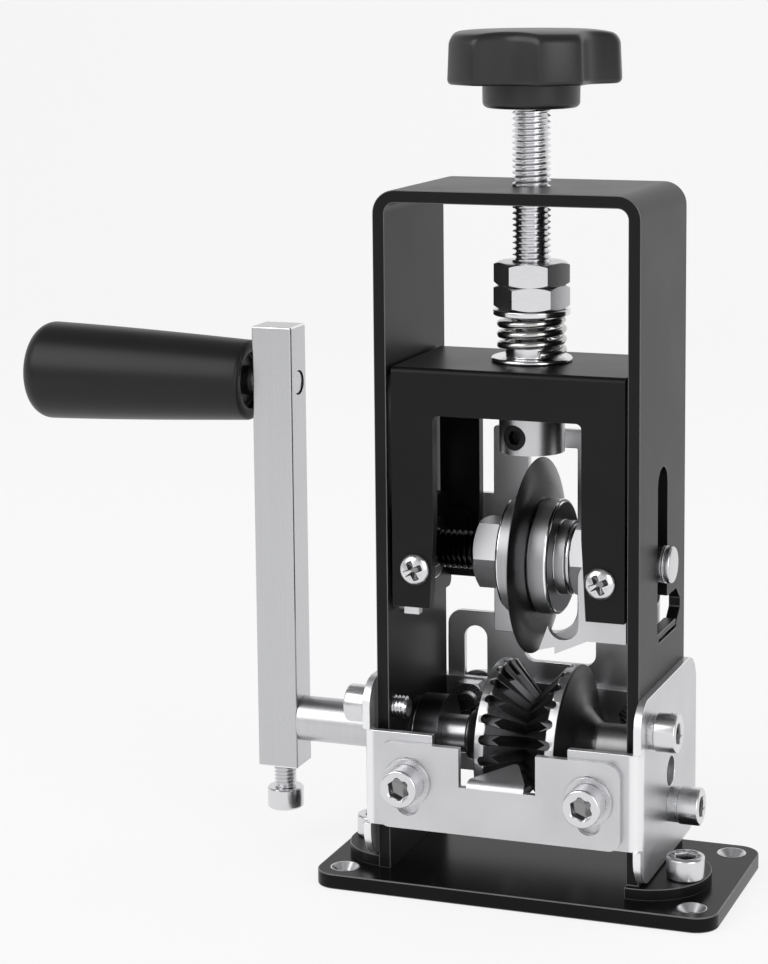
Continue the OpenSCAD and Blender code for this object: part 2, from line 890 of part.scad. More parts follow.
// The yoke's section from the side: a top with a flange down its front and one down its rear
module yoke_section() {
    difference() {
        corner_rect(yoke_front, yoke_low, yoke_rear, yoke_high, [0, 0, 1.5, 1.5]);
        corner_rect(yoke_front + yoke_t, yoke_low - 1, yoke_rear - yoke_t, yoke_high - yoke_t, [0, 0, 0.5, 0.5]);
    }
}

// The window, which widens a little towards the legs' lower ends
module yoke_window() {
    spread = 1.2;
    corner_rect(-window_x, yoke_low - 1, window_x, window_high, [0, 0, 1.5, 1.5]);
    polygon([
        [-window_x - spread, yoke_low - 1], [window_x + spread, yoke_low - 1], [window_x, 95], [-window_x, 95]
    ]);
}

module yoke() {
    color(black_steel) difference() {
        yz_plate(-yoke_x, 2 * yoke_x) yoke_section();
        xz_plate(yoke_front - 1, yoke_rear - yoke_front + 2) yoke_window();
        translate([0, 0, yoke_high - yoke_t - 1]) cylinder(h = yoke_t + 2, r = m10_r + 0.3);
        for (x = [-yoke_screw_x, yoke_screw_x]) translate([x, 0, yoke_screw_z]) {
            y_rod(yoke_front - 1, yoke_front + yoke_t + 1, m4_r);
            y_rod(yoke_rear - yoke_t - 1, yoke_rear + 1, m4_r);
        }
    }
}

// A side plate on the right, with two tabs screwed behind the yoke's flanges. The front tab stands
// behind the hold-down plate where there is one.
module side_plate(tab_gap) {
    tab_x = 21.2;
    tab_low = 76;
    tab_high = 93;
    lug_low = 71.4;
    inner_front = yoke_front + yoke_t + tab_gap;
    inner_rear = yoke_rear - yoke_t;
    difference() {
        union() {
            yz_plate(plate_x, plate_t) corner_rect(inner_front, lug_low, inner_rear, 98, [2, 2, 5, 5]);
            xz_plate(inner_front, plate_t) union() {
                corner_rect(tab_x, tab_low, plate_x + 1, tab_high, [2, 0, 0, 2]);
                translate([plate_x - 3, lug_low]) square([4, 6]);
            }
            xz_plate(inner_rear - plate_t, plate_t)
                corner_rect(tab_x, tab_low, plate_x + 1, tab_high, [2, 0, 0, 2]);
        }
        translate([0, 0, blade_z]) x_rod(plate_x - 1, plate_x + plate_t + 1, 6.5);
        translate([yoke_screw_x, 0, yoke_screw_z]) {
            y_rod(inner_front - 1, inner_front + plate_t + 1, m4_r);
            y_rod(inner_rear - plate_t - 1, inner_rear + 1, m4_r);
        }
    }
}

module right_side_plate() {
    color(black_steel) side_plate(hold_down_t);
}

module left_side_plate() {
    color(black_steel) mirror([1, 0, 0]) side_plate(0);
}

module axle_bush() {
    translate([0, 0, blade_z]) difference() {
        union() {
            x_rod(plate_x, plate_x + plate_t, 6.5);
            x_rod(plate_x - 1.4, plate_x, 8.2);
        }
        x_rod(plate_x - 5, plate_x + 5, journal_r + run_gap);
    }
}

module right_axle_bush() {
    color(dark_steel) axle_bush();
}

module left_axle_bush() {
    color(dark_steel) mirror([1, 0, 0]) axle_bush();
}

module yoke_screws() {
    length = yoke_t + hold_down_t + plate_t + 1;
    color(bare_steel) for (x = [-yoke_screw_x, yoke_screw_x])
        translate([x, yoke_front, yoke_screw_z]) rotate([90, 0, 0]) pan_screw(length);
}

// The front plate reaches down beside the blade and ends in a fork that holds the wire down
module hold_down_outline() {
    cradle = [13.9, 71.9];
    cradle_r = 4.1;
    difference() {
        union() {
            corner_rect(17.9, 69, 30.4, 89, [0, 0, 2, 5]);
            polygon([[7.5, 64.8], [11.6, 65.9], [11.7, 64.1], [20.2, 68], [30.4, 68], [30.4, 75], [17.9, 75], [10.5, 73]]);
        }
        translate(cradle) circle(r = cradle_r);
        translate([cradle[0] - cradle_r, cradle[1]]) square([2 * cradle_r, 6]);
    }
}

module hold_down_plate() {
    color(zinc) difference() {
        xz_plate(yoke_front + yoke_t, hold_down_t) hold_down_outline();
        translate([yoke_screw_x, 0, yoke_screw_z]) y_rod(yoke_front, 0, m4_r);
    }
}

// Guard plate behind the blade
guard_low = 58.6;

module rear_guard_outline() {
    difference() {
        union() {
            corner_rect(-29, 78, -10, 96.5, [2, 0, 0, 2]);
            corner_rect(-16.7, guard_low, 14, 115, [0, 0, 1, 1]);
            corner_rect(0, guard_low, 29, 97, [0, 2, 3, 0]);
            polygon([[-6, guard_low], [-1.5, 57.2], [4.5, 57.2], [9, guard_low]]);
        }
        translate([-6.6, 66.5]) square([13.3, 43.5]);
        translate([0.05, 66.5]) circle(r = 6.65);
    }
}

module rear_guard_plate() {
    color(zinc) difference() {
        xz_plate(yoke_rear, guard_t) rear_guard_outline();
        for (x = [-yoke_screw_x, yoke_screw_x])
            translate([x, 0, yoke_screw_z]) y_rod(yoke_rear - 1, yoke_rear + guard_t + 1, m4_r);
    }
}

module rear_guard_screws() {
    length = guard_t + yoke_t + plate_t + 1;
    color(bare_steel) for (x = [-yoke_screw_x, yoke_screw_x])
        translate([x, yoke_rear + guard_t, yoke_screw_z]) rotate([-90, 0, 0]) pan_screw(length);
}

// Blade and its axle
clip_groove_x0 = wall_out + 0.3;
clip_groove_x1 = wall_out + 1.5;
clip_groove_r = 4.1;

module blade_axle() {
    color(bare_steel) translate([0, 0, blade_z]) union() {
        x_rod(-journal_x, journal_x, m10_r);
        for (side = [0, 1]) mirror([side, 0, 0]) {
            x_rod(journal_x, clip_groove_x0, journal_r);
            x_rod(clip_groove_x0, clip_groove_x1, clip_groove_r);
            x_rod(clip_groove_x1, axle_end, journal_r);
        }
    }
}

// Each ring fills the middle of its groove
module axle_circlips() {
    color(bare_steel) translate([0, 0, blade_z]) for (side = [0, 1]) mirror([side, 0, 0])
        x_ring(clip_groove_x0 + 0.3, clip_groove_x1 - 0.3, journal_r + 0.1, clip_groove_r);
}

// The blade is ground from both faces to an edge at mid thickness
module blade() {
    half = blade_t / 2;
    grind = blade_r - 19;
    color(dark_steel) x_turned(blade_left, blade_z) polygon([
        [m10_r, 0], [blade_r - grind, 0], [blade_r - grind * 0.4, half * 0.45], [blade_r - 0.1, half - 0.1],
        [blade_r, half], [blade_r - 0.1, half + 0.1], [blade_r - grind * 0.4, blade_t - half * 0.45],
        [blade_r - grind, blade_t], [m10_r, blade_t]
    ]);
}

module left_flange() {
    color(dark_steel) x_turned(blade_left - flange_t, blade_z) polygon([
        [m10_r, 0], [flange_r - 0.6, 0], [flange_r, 0.6], [flange_r, flange_t - 0.4],
        [flange_r - 0.4, flange_t], [m10_r, flange_t]
    ]);
}

flange_hub_r = 9.6;
flange_hub_x = 3;
ring_t = 1;

module right_flange() {
    color(dark_steel) x_turned(blade_right, blade_z) polygon([
        [m10_r, 0], [flange_r - 0.4, 0], [flange_r, 0.4], [flange_r, flange_t - 0.6], [flange_r - 0.6, flange_t],
        [flange_hub_r, flange_t], [flange_hub_r, flange_t + flange_hub_x], [m10_r, flange_t + flange_hub_x]
    ]);
}

hub_end = blade_right + flange_t + flange_hub_x;

module hub_snap_ring() {
    color(dark_steel) translate([0, 0, blade_z]) x_ring(hub_end, hub_end + ring_t, 9, m10_r);
}

axle_nut_h = 8;

module axle_nut(x0) {
    translate([x0, 0, blade_z]) rotate([0, 90, 0]) rotate([0, 0, 30]) difference() {
        hex_body(m10_nut_af, axle_nut_h);
        translate([0, 0, -1]) cylinder(h = axle_nut_h + 2, r = m10_r);
    }
}

module left_axle_nut() {
    color(bare_steel) axle_nut(blade_left - flange_t - axle_nut_h);
}

module right_axle_nut() {
    color(bare_steel) axle_nut(hub_end + ring_t);
}

// Each line draws one sub-part
base_plate();
outer_frame();
foot_screws();
side_bracket();
side_screws();
side_washers();
rear_crossbar();
left_bush();
right_bush();
front_guide_screws();
front_guide_washers();
front_guide_nuts();
rear_guide_screws();
rear_guide_washers();
rear_guide_nuts();
front_guide_plate();
rear_guide_plate();
crank_arm();
crank_clamp_screw();
handle_spindle();
drive_shaft();
roller_left();
roller_right();
shaft_collar();
shaft_collar_screw();
handle_grip();
star_knob();
pressure_screw();
upper_jam_nut();
lower_jam_nut();
screw_collar();
screw_collar_screw();
upper_washer();
pressure_spring();
lower_washer();
yoke();
left_side_plate();
right_side_plate();
yoke_screws();
left_axle_bush();
right_axle_bush();
hold_down_plate();
rear_guard_plate();
rear_guard_screws();
blade_axle();
blade();
left_flange();
right_flange();
left_axle_nut();
right_axle_nut();
hub_snap_ring();
axle_circlips();
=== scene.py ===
import math

import bmesh
import bpy
from mathutils import Matrix, Vector


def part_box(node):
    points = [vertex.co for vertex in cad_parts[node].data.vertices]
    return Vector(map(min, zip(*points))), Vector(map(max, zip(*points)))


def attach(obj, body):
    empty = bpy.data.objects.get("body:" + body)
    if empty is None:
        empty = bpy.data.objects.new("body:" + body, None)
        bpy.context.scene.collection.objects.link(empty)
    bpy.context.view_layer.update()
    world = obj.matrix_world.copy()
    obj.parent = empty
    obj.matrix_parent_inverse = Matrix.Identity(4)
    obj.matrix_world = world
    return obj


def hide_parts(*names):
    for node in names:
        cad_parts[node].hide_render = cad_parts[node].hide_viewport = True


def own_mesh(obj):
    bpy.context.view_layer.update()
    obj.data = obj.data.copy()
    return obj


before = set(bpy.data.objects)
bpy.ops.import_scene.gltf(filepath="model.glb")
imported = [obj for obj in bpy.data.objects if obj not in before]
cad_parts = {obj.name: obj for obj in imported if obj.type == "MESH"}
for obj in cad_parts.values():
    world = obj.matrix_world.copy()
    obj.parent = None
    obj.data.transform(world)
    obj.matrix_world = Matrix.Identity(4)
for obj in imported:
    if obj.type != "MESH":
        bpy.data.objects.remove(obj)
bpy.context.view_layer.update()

MM = 0.001
SHAFT_Z = 35
BLADE_Z = 85
GRIP_Z = 127


# Camera, solved from the frame's straight edges, in millimetres, degrees and pixels

CAMERA_AT = (200.0, -615.7, 237.25)
CAMERA_PAN = 19.4716
CAMERA_TILT = 8.1689
CAMERA_ROLL = -0.3265
FOCAL_PX = 2550.10
CENTRE_PX = (466.78, 328.45)
IMAGE = (768, 964)
SENSOR_W = 36
NEAR_AND_FAR = (0.01, 20)


def make_camera():
    data = bpy.data.cameras.new("camera")
    data.sensor_fit = "AUTO"
    data.sensor_width = SENSOR_W
    data.lens = FOCAL_PX * SENSOR_W / IMAGE[1]
    data.shift_x = (IMAGE[0] / 2 - CENTRE_PX[0]) / IMAGE[1]
    data.shift_y = -(IMAGE[1] / 2 - CENTRE_PX[1]) / IMAGE[1]
    data.clip_start, data.clip_end = NEAR_AND_FAR
    cam = bpy.data.objects.new("camera", data)
    pan, tilt, roll = (math.radians(a) for a in (CAMERA_PAN, CAMERA_TILT, CAMERA_ROLL))
    turn = Matrix.Rotation(pan, 4, "Z") @ Matrix.Rotation(math.pi / 2 - tilt, 4, "X")
    turn = turn @ Matrix.Rotation(roll, 4, "Z")
    cam.matrix_world = Matrix.Translation([c * MM for c in CAMERA_AT]) @ turn
    bpy.context.scene.collection.objects.link(cam)
    bpy.context.scene.camera = cam


make_camera()


# Materials

# The part of a noise's output in which it varies
NOISE_LOW = 0.3
NOISE_HIGH = 0.7


class Nodes:
    """A material's node tree with short calls for the few nodes that the finishes use."""

    def __init__(self, name):
        self.material = bpy.data.materials.new(name)
        self.material.use_nodes = True
        self.tree = self.material.node_tree
        self.tree.nodes.clear()
        self.out = self.tree.nodes.new("ShaderNodeOutputMaterial")
        self.shader = self.tree.nodes.new("ShaderNodeBsdfPrincipled")
        self.link(self.shader.outputs[0], self.out.inputs["Surface"])
        coords = self.tree.nodes.new("ShaderNodeTexCoord")
        self.place = coords.outputs["Object"]

    def link(self, a, b):
        self.tree.links.new(a, b)

    def put(self, value, socket):
        """Sets a socket to a value, or links another node's output to it."""
        if isinstance(value, (int, float, tuple)):
            socket.default_value = value
        else:
            self.link(value, socket)

    def math(self, op, a, b=0.0, clamp=False):
        n = self.tree.nodes.new("ShaderNodeMath")
        n.operation = op
        n.use_clamp = clamp
        for socket, value in zip(n.inputs, (a, b)):
            self.put(value, socket)
        return n.outputs[0]

    def noise(self, vector, scale, detail=2.0, rough=0.5):
        n = self.tree.nodes.new("ShaderNodeTexNoise")
        self.link(vector, n.inputs["Vector"])
        n.inputs["Scale"].default_value = scale
        n.inputs["Detail"].default_value = detail
        n.inputs["Roughness"].default_value = rough
        return n.outputs["Fac"]

    def stretched(self, scale, vector=None):
        """A vector scaled along each axis, for marks that are drawn out along one."""
        n = self.tree.nodes.new("ShaderNodeMapping")
        self.link(vector or self.place, n.inputs["Vector"])
        n.inputs["Scale"].default_value = scale
        return n.outputs[0]

    def between(self, fac, low, high, from_low=0.0, from_high=1.0):
        """Maps one range of values to another."""
        n = self.tree.nodes.new("ShaderNodeMapRange")
        for socket, value in zip(n.inputs, (fac, from_low, from_high, low, high)):
            self.put(value, socket)
        return n.outputs[0]

    def ramp(self, noise, colour_low, colour_high):
        """A colour that runs between two as a noise does."""
        n = self.tree.nodes.new("ShaderNodeValToRGB")
        self.link(noise, n.inputs[0])
        n.color_ramp.elements[0].position = NOISE_LOW
        n.color_ramp.elements[1].position = NOISE_HIGH
        n.color_ramp.elements[0].color = (*colour_low, 1)
        n.color_ramp.elements[1].color = (*colour_high, 1)
        return n.outputs[0]

    def mix(self, fac, a, b):
        n = self.tree.nodes.new("ShaderNodeMix")
        n.data_type = "RGBA"
        self.put(fac, n.inputs[0])
        for socket, value in ((n.inputs[6], a), (n.inputs[7], b)):
            self.put((*value, 1) if isinstance(value, tuple) else value, socket)
        return n.outputs[2]

    def bump(self, height, distance, strength=1.0):
        n = self.tree.nodes.new("ShaderNodeBump")
        n.inputs["Distance"].default_value = distance
        n.inputs["Strength"].default_value = strength
        self.link(height, n.inputs["Height"])
        self.link(n.outputs[0], self.shader.inputs["Normal"])

    def axes(self):
        """The place along X, Y and Z."""
        split = self.tree.nodes.new("ShaderNodeSeparateXYZ")
        self.link(self.place, split.inputs[0])
        return split.outputs

    def below(self, value, limit, soft=0.05):
        """1 where a length is under a limit in millimetres, 0 where it is over it, within a soft border."""
        return self.between(value, 1.0, 0.0, (limit - soft) * MM, (limit + soft) * MM)

    def turning(self, axis, centre=(0, 0, 0)):
        """A vector of the place along an axis and the distance from it, and that distance alone."""
        place = self.axes()
        across = [k for k in range(3) if k != "XYZ".index(axis)]
        squares = []
        for k in across:
            offset = self.math("SUBTRACT", place[k], centre[k] * MM)
            squares.append(self.math("MULTIPLY", offset, offset))
        radius = self.math("SQRT", self.math("ADD", *squares))
        join = self.tree.nodes.new("ShaderNodeCombineXYZ")
        self.link(place["XYZ".index(axis)], join.inputs[0])
        self.link(radius, join.inputs[1])
        return join.outputs[0], radius

    def grain(self, axis, amount):
        """Stretches the highlights as tool marks round an axis do."""
        tangent = self.tree.nodes.new("ShaderNodeTangent")
        tangent.direction_type = "RADIAL"
        tangent.axis = axis
        self.link(tangent.outputs[0], self.shader.inputs["Tangent"])
        self.shader.inputs["Anisotropic"].default_value = amount


BARE_METAL = (0.72, 0.72, 0.73)
SHEET_STEEL = (0.62, 0.62, 0.635)
# Painted highlight for the front bracket's bends
BEND_HIGHLIGHT = (0.9, 0.9, 0.91)
BLACK_STEEL = (0.03, 0.03, 0.032)
# Painted shade for the screw heads' sockets and cross recesses
RECESS_SHADE = (0.28, 0.28, 0.285)
STEEL = (0.6, 0.6, 0.615)
PALE_STEEL = (0.72, 0.72, 0.735)


def colour_of(base, spread):
    """The darkest and the lightest colour of a base colour that varies by a share."""
    return tuple(c * (1 - spread) for c in base), tuple(min(1.0, c * (1 + spread)) for c in base)


def coat(name, base, specular, rough_low, rough_high, bare=None):
    """Satin black powder coat with a fine orange peel. bare is a height and a depth, and metal shows where
    the place is under both."""
    n = Nodes(name)
    fine = n.noise(n.place, 1500, 2)
    broad = n.noise(n.place, 45, 3)
    low, high = colour_of(base, 0.2)
    colour = n.ramp(broad, low, high)
    if bare:
        place = n.axes()
        worn = n.math("MULTIPLY", n.below(place[2], bare[0]), n.below(place[1], bare[1]))
        colour = n.mix(worn, colour, BARE_METAL)
        n.link(worn, n.shader.inputs["Metallic"])
    n.link(colour, n.shader.inputs["Base Color"])
    n.link(n.between(broad, rough_low, rough_high), n.shader.inputs["Roughness"])
    n.shader.inputs["Specular IOR Level"].default_value = specular
    n.bump(fine, 0.00002, 0.4)
    return n.material


# Where the front bracket's bends begin, on which the zinc sheet paints a highlight
BEND_X = 34.2
BEND_Y = -24


def sheet_metal():
    """Zinc-plated sheet with faint crossed polishing marks, and a painted highlight on the front bracket's
    bends.
    """
    n = Nodes("zinc_sheet")
    marks_a = n.noise(n.stretched((900, 900, 6000)), 1.0, 2)
    marks_b = n.noise(n.stretched((5000, 2500, 700)), 1.0, 2)
    marks = n.math("ADD", marks_a, marks_b)
    broad = n.noise(n.place, 60, 3)
    low, high = colour_of(SHEET_STEEL, 0.05)
    colour = n.ramp(broad, low, high)
    place = n.axes()
    # Painted highlight: the bends are coloured lighter, as the light that they catch would make them look
    beside = n.between(n.math("ABSOLUTE", place[0]), 0.0, 1.0, (BEND_X - 0.5) * MM, (BEND_X + 0.3) * MM)
    ahead = n.between(place[1], 1.0, 0.0, (BEND_Y - 0.3) * MM, (BEND_Y + 0.3) * MM)
    bend_highlight = n.math("MULTIPLY", beside, ahead)
    n.link(n.mix(bend_highlight, colour, BEND_HIGHLIGHT), n.shader.inputs["Base Color"])
    n.shader.inputs["Metallic"].default_value = 0.88
    n.link(n.between(marks, 0.28, 0.4, 0.6, 1.4), n.shader.inputs["Roughness"])
    n.bump(marks, 0.000006, 0.3)
    return n.material


def brushed(name, scale, base, rough_low, rough_high, spread=0.1, depth=0.00001, hole=None):
    """Metal with marks drawn out along one axis: scale is the marks' fineness along X, Y and Z. hole is a
    height and radius about X, inside which the shade in the bore is painted as black metal."""
    n = Nodes(name)
    marks = n.noise(n.stretched(scale), 1.0, 3, 0.6)
    broad = n.noise(n.place, 50, 2)
    low, high = colour_of(base, spread)
    colour = n.ramp(marks, low, high)
    # Painted shade: black inside the bore about the grip's spindle
    if hole:
        radius = n.turning("X", (0, 0, hole[0]))[1]
        colour = n.mix(n.below(radius, hole[1]), colour, BLACK_STEEL)
    n.link(colour, n.shader.inputs["Base Color"])
    n.shader.inputs["Metallic"].default_value = 1.0
    both = n.math("MULTIPLY", n.math("ADD", marks, broad), 0.5)
    n.link(n.between(both, rough_low, rough_high, NOISE_LOW, NOISE_HIGH), n.shader.inputs["Roughness"])
    if depth:
        n.bump(marks, depth, 0.4)
    return n.material


RECESS_FLOOR = 0.3


def turned(name, axis, centre, base, rough_low, rough_high, rim=None, grain=0.2, spread=0.12,
           depth=0.000004, recess=None, end=None):
    """Metal turned about an axis, with fine rings. rim is a colour and the radius that it starts at. end is
    a colour and the two places along the axis beyond which it is seen, inside the roller's rim: the roller's
    lighter cheeks, and painted shade on the blade axle's left end. recess is painted shade in a screw head's
    socket or cross: its radius, the height of its top and how far that top curves down outwards."""
    n = Nodes(name)
    vector, radius = n.turning(axis, centre)
    rings = n.noise(n.stretched((2600, 2600, 1), vector), 1.0, 3, 0.65)
    low, high = colour_of(base, spread)
    colour = n.ramp(rings, low, high)
    if rim:
        rim_colour, rim_radius = rim
        far = n.math("GREATER_THAN", radius, rim_radius * MM)
        rim_low, rim_high = colour_of(rim_colour, 0.06)
        colour = n.mix(far, colour, n.ramp(rings, rim_low, rim_high))
    # Another colour beyond two places along the axis: lighter cheeks on the roller, and painted shade on the
    # axle's left end
    if end:
        end_colour, low_end, high_end = end
        along = n.axes()["XYZ".index(axis)]
        over = n.math("SUBTRACT", 1.0, n.below(along, high_end))
        beyond = n.math("ADD", n.below(along, low_end), over, clamp=True)
        colour = n.mix(n.math("MULTIPLY", beyond, n.below(radius, RIM_R)), colour, end_colour)
    # Painted shade: a darker colour inside the screw head's socket or cross recess
    if recess:
        hollow_r, top, dome_rise = recess
        height = n.axes()[2]
        rise = n.math("MULTIPLY", n.math("MULTIPLY", radius, radius), dome_rise / MM)
        domed = n.math("ADD", height, rise)
        recess_shade_mask = n.math("MULTIPLY", n.below(radius, hollow_r), n.below(domed, top))
        recess_shade_mask = n.math("MULTIPLY", recess_shade_mask, n.math("GREATER_THAN", height, RECESS_FLOOR * MM))
        colour = n.mix(recess_shade_mask, colour, RECESS_SHADE)
    n.link(colour, n.shader.inputs["Base Color"])
    n.shader.inputs["Metallic"].default_value = 1.0
    n.link(n.between(rings, rough_low, rough_high, NOISE_LOW, NOISE_HIGH), n.shader.inputs["Roughness"])
    n.grain(axis, grain)
    if depth:
        n.bump(rings, depth, 0.35)
    return n.material


def plastic(name, base, specular, rough_low, rough_high):
    """Satin black moulded plastic with a faint grain."""
    n = Nodes(name)
    fine = n.noise(n.place, 1800, 2)
    broad = n.noise(n.place, 40, 2)
    low, high = colour_of(base, 0.15)
    n.link(n.ramp(broad, low, high), n.shader.inputs["Base Color"])
    n.link(n.between(broad, rough_low, rough_high), n.shader.inputs["Roughness"])
    n.shader.inputs["Specular IOR Level"].default_value = specular
    n.bump(fine, 0.000015, 0.5)
    return n.material


SHAFT_AXIS = (0, 0, SHAFT_Z)
BLADE_AXIS = (0, 0, BLADE_Z)
GRIP_AXIS = (0, 0, GRIP_Z)
OWN_AXIS = (0, 0, 0)
RIM_R = 20.75
ROLLER_RIM = ((0.62, 0.62, 0.63), RIM_R)
ROLLER_CHEEK = ((0.3, 0.3, 0.305), -9.3, 12.3)
# Painted shade on the blade axle's left end: its colour, and the two places along the axis beyond which it
# is painted
AXLE_LEFT_SHADE = ((0.05, 0.05, 0.052), -14, 60)
# Painted shade in the crank arm's bore for the spindle: its height and radius
GRIP_HOLE_SHADE = (GRIP_Z, 3.4)
EVEN_MARKS = (900, 900, 900)

# The finishes: each has its base colour and the two values that its roughness runs between

COAT_BLACK = (0.0068, 0.0068, 0.0076)
BLACK_COAT = coat("black_coat", COAT_BLACK, 0.18, 0.3, 0.4)
BASE_COAT = coat("base_coat", (0.0045, 0.0045, 0.005), 0.12, 0.18, 0.26)
# Painted highlight: a lighter, glossier black for the coat's broken edges
COAT_EDGE_HIGHLIGHT = coat("black_coat_edge_highlight", (0.12, 0.12, 0.124), 0.5, 0.24, 0.3)
LEFT_PLATE_COAT = coat("left_plate_coat", COAT_BLACK, 0.18, 0.3, 0.4, bare=(73.8, -15))
SHEET = sheet_metal()
KNOB_PLASTIC = plastic("knob_plastic", (0.012, 0.012, 0.0128), 0.5, 0.3, 0.4)
GRIP_PLASTIC = plastic("grip_plastic", (0.0058, 0.0058, 0.0063), 0.34, 0.34, 0.42)
ARM = brushed("arm_steel", (1500, 1500, 25), (0.57, 0.57, 0.585), 0.24, 0.3, 0.02, 0.000001, GRIP_HOLE_SHADE)
# Painted highlights: near-white steel for the broken edges of the crank arm and of the bright parts
ARM_EDGE_HIGHLIGHT = brushed("arm_edge_highlight", EVEN_MARKS, (0.92, 0.92, 0.93), 0.08, 0.12, 0.02, 0.000001, GRIP_HOLE_SHADE)
BRIGHT_EDGE_HIGHLIGHT = brushed("bright_edge_highlight", EVEN_MARKS, (0.9, 0.9, 0.91), 0.1, 0.16, 0.03, 0.000002)
SHAFT = turned("shaft_steel", "X", SHAFT_AXIS, STEEL, 0.28, 0.36, spread=0.04, grain=0.1, depth=0.000001)
SPINDLE = turned("spindle_steel", "X", GRIP_AXIS, STEEL, 0.18, 0.3)
ROLLER = turned("roller_steel", "X", SHAFT_AXIS, (0.1, 0.1, 0.104), 0.3, 0.42,
                rim=ROLLER_RIM, end=ROLLER_CHEEK)
DARK = turned("dark_steel", "X", SHAFT_AXIS, (0.08, 0.08, 0.084), 0.3, 0.4)
BLACK_SCREW = brushed("black_steel", EVEN_MARKS, BLACK_STEEL, 0.3, 0.4)
BLADE = turned("blade_steel", "X", BLADE_AXIS, (0.1, 0.1, 0.104), 0.26, 0.34, spread=0.03, depth=0.000001)
FLANGE = turned("flange_steel", "X", BLADE_AXIS, (0.42, 0.42, 0.43), 0.34, 0.44, spread=0.08)
AXLE = turned("axle_steel", "X", BLADE_AXIS, STEEL, 0.18, 0.3)
AXLE_THREAD = turned("axle_thread_steel", "Z", OWN_AXIS, (0.66, 0.66, 0.675), 0.2, 0.28, spread=0.03,
                     end=AXLE_LEFT_SHADE)
SCREW = turned("screw_steel", "Z", OWN_AXIS, (0.78, 0.78, 0.795), 0.16, 0.2, spread=0.02, depth=0)
CAP_SCREW = turned("cap_screw_steel", "Z", OWN_AXIS, PALE_STEEL, 0.22, 0.25, spread=0.02, depth=0,
                   recess=(2.98, 5.35, 0))
PAN_SCREW = turned("pan_screw_steel", "Z", OWN_AXIS, PALE_STEEL, 0.2, 0.24, spread=0.02, depth=0,
                   recess=(2.75, 2.5, 0.0806))
COLLAR = turned("collar_steel", "Z", OWN_AXIS, STEEL, 0.3, 0.38, spread=0.04, grain=0.1)
NUT = brushed("nut_steel", (400, 400, 1500), PALE_STEEL, 0.26, 0.34, 0.03, 0)
AXLE_NUT = brushed("axle_nut_steel", (4200, 500, 500), (0.4, 0.4, 0.41), 0.3, 0.4, 0.05, 0.000004)
WASHER = turned("washer_steel", "Y", OWN_AXIS, (0.62, 0.62, 0.635), 0.2, 0.34, grain=0.0)
SPRING = brushed("spring_steel", (700, 700, 2200), (0.55, 0.545, 0.535), 0.16, 0.26, 0.05)


# The CAD's own solids get finishes and broken edges

WELD_DISTANCE = 1e-6
FLAT_ANGLE = 0.5


def dress(material, nodes, width=0.25, segments=2, angle=32, edge=None, wide=False, flat=True):
    """Breaks the edges that are sharper than an angle, by a width in millimetres. edge is a lighter material
    for those broken edges, a painted highlight along them. wide keeps their width beside small features, and
    flat joins the triangles of a flat face."""
    for name in nodes:
        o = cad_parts[name]
        o.data.materials.clear()
        o.data.materials.append(material)
        o.data.polygons.foreach_set("use_smooth", [True] * len(o.data.polygons))
        o.modifiers.new("weld", "WELD").merge_threshold = WELD_DISTANCE
        if flat:
            joined = o.modifiers.new("joined", "DECIMATE")
            joined.decimate_type = "DISSOLVE"
            joined.angle_limit = math.radians(FLAT_ANGLE)
        edges = o.modifiers.new("edges", "BEVEL")
        edges.limit_method = "ANGLE"
        edges.angle_limit = math.radians(angle)
        edges.width = width * MM
        edges.segments = segments
        edges.use_clamp_overlap = not wide
        edges.miter_outer = "MITER_ARC"
        # The edge material paints a highlight along the broken edges
        if edge:
            o.data.materials.append(edge)
            edges.material = 1
        o.modifiers.new("normals", "WEIGHTED_NORMAL").keep_sharp = False


dress(BLACK_COAT, ["outer_frame"], 0.2, 3, edge=COAT_EDGE_HIGHLIGHT, wide=True)
dress(BASE_COAT, ["base_plate"], 0.3, 2, edge=COAT_EDGE_HIGHLIGHT, wide=True)
dress(BLACK_COAT, ["yoke"], 0.25, 3, edge=COAT_EDGE_HIGHLIGHT, flat=False)
dress(BLACK_COAT, ["right_side_plate"], 0.25, 3, edge=COAT_EDGE_HIGHLIGHT)
dress(LEFT_PLATE_COAT, ["left_side_plate"], 0.25, 3)
dress(SHEET, ["side_bracket"], 0.15, 2, edge=BRIGHT_EDGE_HIGHLIGHT, wide=True)
dress(SHEET, ["front_guide_plate"], 0.15, 2, edge=BRIGHT_EDGE_HIGHLIGHT, flat=False)
dress(SHEET, ["rear_crossbar", "rear_guide_plate", "hold_down_plate", "rear_guard_plate"], 0.25, 2,
      edge=BRIGHT_EDGE_HIGHLIGHT)
dress(WASHER, ["side_washers", "front_guide_washers", "front_guide_nuts", "rear_guide_washers",
               "rear_guide_nuts"], 0.15, 2)
dress(COLLAR, ["screw_collar"], 0.35, 3, edge=BRIGHT_EDGE_HIGHLIGHT)
dress(SCREW, ["upper_washer", "lower_washer"], 0.3, 3)
dress(NUT, ["upper_jam_nut", "lower_jam_nut"], 0.2, 2)
dress(AXLE_NUT, ["left_axle_nut", "right_axle_nut"], 0.2, 2)
dress(AXLE, ["axle_circlips", "hub_snap_ring"], 0.15, 2)
dress(ARM, ["crank_arm"], 0.4, 3, edge=ARM_EDGE_HIGHLIGHT, wide=True)
dress(SHAFT, ["drive_shaft"], 0.3, 2)
dress(SPINDLE, ["handle_spindle"], 0.3, 2)
dress(ROLLER, ["roller_left", "roller_right"], 0.12, 1, 25)
dress(DARK, ["left_bush", "right_bush", "shaft_collar", "left_axle_bush", "right_axle_bush"], 0.3, 3,
      edge=BRIGHT_EDGE_HIGHLIGHT)
dress(BLACK_SCREW, ["shaft_collar_screw", "screw_collar_screw"], 0.2, 2)
dress(BLADE, ["blade"], 0.05, 1)
dress(FLANGE, ["left_flange", "right_flange"], 0.25, 2, edge=BRIGHT_EDGE_HIGHLIGHT, wide=True)


